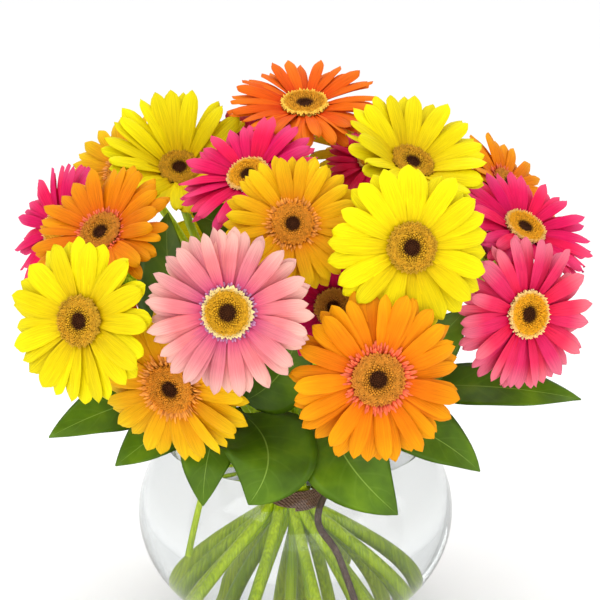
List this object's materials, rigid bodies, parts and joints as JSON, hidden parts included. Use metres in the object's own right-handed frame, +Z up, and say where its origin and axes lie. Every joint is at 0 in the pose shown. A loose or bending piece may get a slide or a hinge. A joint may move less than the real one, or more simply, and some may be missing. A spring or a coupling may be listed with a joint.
{
  "type": "gerberas in a vase",
  "caption": "Dome-shaped bunch of gerbera blooms with broad glossy leaves, tied at the stems and standing in water in a round clear glass bowl vase.",
  "frame": {"origin": "middle of the round flat foot under the glass bowl, on the surface it stands on", "axes": "+Z up; the picture's view looks along +Y, with +X to its right"},
  "size_m": [0.3596, 0.309, 0.3684],
  "materials": {
    "glass": "clear blown soda-lime glass",
    "water": "clear still water",
    "twine": "plain jute twine",
    "flower_stem": "fresh green stem, finely downy",
    "leaf": "glossy waxy leaf",
    "petals_yellow": "soft satin petal",
    "petals_gold": "soft satin petal",
    "petals_orange": "soft satin petal",
    "petals_flame": "soft satin petal",
    "petals_salmon": "soft satin petal",
    "petals_pink": "soft satin petal",
    "petals_coral": "soft satin petal",
    "petals_crimson": "soft satin petal",
    "florets": "tightly packed small florets"
  },
  "bodies": {
    "root": {"bowl": "glass", "water": "water", "tie": "twine", "flower_stems": "flower_stem", "leafy_stem_front_left": "leaf", "leafy_stem_front_right": "leaf", "leafy_stem_left": "leaf", "leafy_stem_right": "leaf", "leafy_stem_middle": "leaf", "leafy_stem_back": "leaf", "petals_01": "petals_yellow", "petals_02": "petals_salmon", "petals_03": "petals_orange", "petals_04": "petals_gold", "petals_05": "petals_yellow", "petals_06": "petals_gold", "petals_07": "petals_pink", "petals_08": "petals_flame", "petals_09": "petals_yellow", "petals_10": "petals_pink", "petals_11": "petals_coral", "petals_12": "petals_yellow", "petals_13": "petals_orange", "petals_14": "petals_pink", "petals_15": "petals_gold", "petals_16": "petals_orange", "petals_17": "petals_crimson", "petals_18": "petals_pink", "petals_19": "petals_coral", "petals_20": "petals_yellow", "petals_21": "petals_salmon", "petals_22": "petals_flame", "petals_23": "petals_gold", "petals_24": "petals_coral", "disc_01": "florets", "disc_02": "florets", "disc_03": "florets", "disc_04": "florets", "disc_05": "florets", "disc_06": "florets", "disc_07": "florets", "disc_08": "florets", "disc_09": "florets", "disc_10": "florets", "disc_11": "florets", "disc_12": "florets", "disc_13": "florets", "disc_14": "florets", "disc_15": "florets", "disc_16": "florets", "disc_17": "florets", "disc_18": "florets", "disc_19": "florets", "disc_20": "florets", "disc_21": "florets", "disc_22": "florets", "disc_23": "florets", "disc_24": "florets"}
  },
  "joints": []
}
